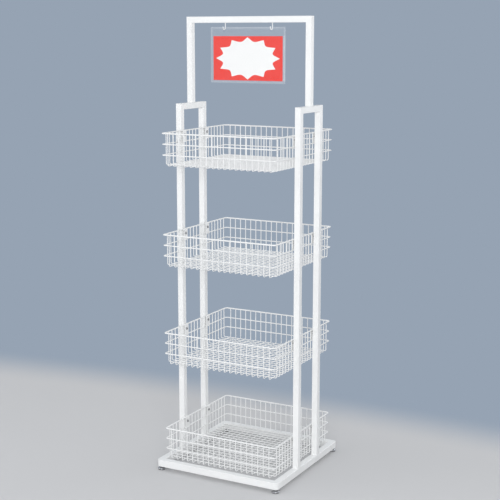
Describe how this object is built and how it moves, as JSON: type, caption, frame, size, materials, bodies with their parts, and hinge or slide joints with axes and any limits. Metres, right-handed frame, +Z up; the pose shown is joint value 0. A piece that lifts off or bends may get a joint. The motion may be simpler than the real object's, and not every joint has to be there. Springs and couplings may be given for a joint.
{
  "type": "fruit and vegetable rack",
  "caption": "Free-standing shop rack: welded wire baskets one above another between square-tube side frames on a base with levelling feet, with a hanging sign in a header.",
  "frame": {"origin": "on the floor, under the middle of the base", "axes": "+X to the right of a person facing the front, +Y to the back, +Z up"},
  "size_m": [0.5, 0.5, 1.639],
  "materials": {
    "white_coat": "satin powder coat",
    "foot_chrome": "polished",
    "zinc_steel": "zinc plated",
    "dark_screw": "dark plated",
    "clear_sleeve": "clear gloss",
    "printed_card": "matt print"
  },
  "bodies": {
    "rack": {"base_front_rail": "white_coat", "base_left_rail": "white_coat", "base_rear_rail": "white_coat", "base_right_rail": "white_coat", "basket_1_cross_wires": "white_coat", "basket_1_long_wires": "white_coat", "basket_1_lugs": "white_coat", "basket_1_rim": "white_coat", "basket_1_rings": "white_coat", "basket_2_cross_wires": "white_coat", "basket_2_long_wires": "white_coat", "basket_2_lugs": "white_coat", "basket_2_rim": "white_coat", "basket_2_rings": "white_coat", "basket_3_cross_wires": "white_coat", "basket_3_long_wires": "white_coat", "basket_3_lugs": "white_coat", "basket_3_rim": "white_coat", "basket_3_rings": "white_coat", "basket_4_cross_wires": "white_coat", "basket_4_long_wires": "white_coat", "basket_4_lugs": "white_coat", "basket_4_rim": "white_coat", "basket_4_rings": "white_coat", "basket_screws": "dark_screw", "foot_nuts": "zinc_steel", "header_left_post": "white_coat", "header_right_post": "white_coat", "header_screws": "dark_screw", "header_spigots": "white_coat", "header_top_bar": "white_coat", "left_front_upright": "white_coat", "left_rear_upright": "white_coat", "left_top_bar": "white_coat", "right_front_upright": "white_coat", "right_rear_upright": "white_coat", "right_top_bar": "white_coat", "sign_hooks": "white_coat", "upright_bolts": "zinc_steel", "upright_plugs": "zinc_steel"},
    "sign": {"sign_sleeve": "clear_sleeve", "sign_card": "printed_card"},
    "front_left_pad": {"front_left_foot_pad": "foot_chrome"},
    "front_left_stud": {"front_left_foot_stud": "foot_chrome"},
    "front_right_pad": {"front_right_foot_pad": "foot_chrome"},
    "front_right_stud": {"front_right_foot_stud": "foot_chrome"},
    "rear_left_pad": {"rear_left_foot_pad": "foot_chrome"},
    "rear_left_stud": {"rear_left_foot_stud": "foot_chrome"},
    "rear_right_pad": {"rear_right_foot_pad": "foot_chrome"},
    "rear_right_stud": {"rear_right_foot_stud": "foot_chrome"}
  },
  "joints": [
    {"name": "sign_swing", "type": "hinge", "parent": "rack", "child": "sign", "pos_m": [0, -0.008, 1.5944], "axis": [1, 0, 0], "range_deg": [-45, 45]},
    {"name": "front_left_foot_extend", "type": "slide", "parent": "rack", "child": "front_left_pad", "axis": [0, 0, -1], "range_m": [0, 0.01]},
    {"name": "front_left_foot_turn", "type": "hinge", "parent": "front_left_pad", "child": "front_left_stud", "pos_m": [-0.236, -0.236, 0.012], "axis": [0, 0, -1], "range_deg": [0, 2880]},
    {"name": "front_right_foot_extend", "type": "slide", "parent": "rack", "child": "front_right_pad", "axis": [0, 0, -1], "range_m": [0, 0.01]},
    {"name": "front_right_foot_turn", "type": "hinge", "parent": "front_right_pad", "child": "front_right_stud", "pos_m": [0.236, -0.236, 0.012], "axis": [0, 0, -1], "range_deg": [0, 2880]},
    {"name": "rear_left_foot_extend", "type": "slide", "parent": "rack", "child": "rear_left_pad", "axis": [0, 0, -1], "range_m": [0, 0.01]},
    {"name": "rear_left_foot_turn", "type": "hinge", "parent": "rear_left_pad", "child": "rear_left_stud", "pos_m": [-0.236, 0.236, 0.012], "axis": [0, 0, -1], "range_deg": [0, 2880]},
    {"name": "rear_right_foot_extend", "type": "slide", "parent": "rack", "child": "rear_right_pad", "axis": [0, 0, -1], "range_m": [0, 0.01]},
    {"name": "rear_right_foot_turn", "type": "hinge", "parent": "rear_right_pad", "child": "rear_right_stud", "pos_m": [0.236, 0.236, 0.012], "axis": [0, 0, -1], "range_deg": [0, 2880]}
  ],
  "couplings": [
    {"joint": "front_left_foot_turn", "follows": "front_left_foot_extend", "rad_per_m": 5026.5},
    {"joint": "front_right_foot_turn", "follows": "front_right_foot_extend", "rad_per_m": 5026.5},
    {"joint": "rear_left_foot_turn", "follows": "rear_left_foot_extend", "rad_per_m": 5026.5},
    {"joint": "rear_right_foot_turn", "follows": "rear_right_foot_extend", "rad_per_m": 5026.5}
  ]
}
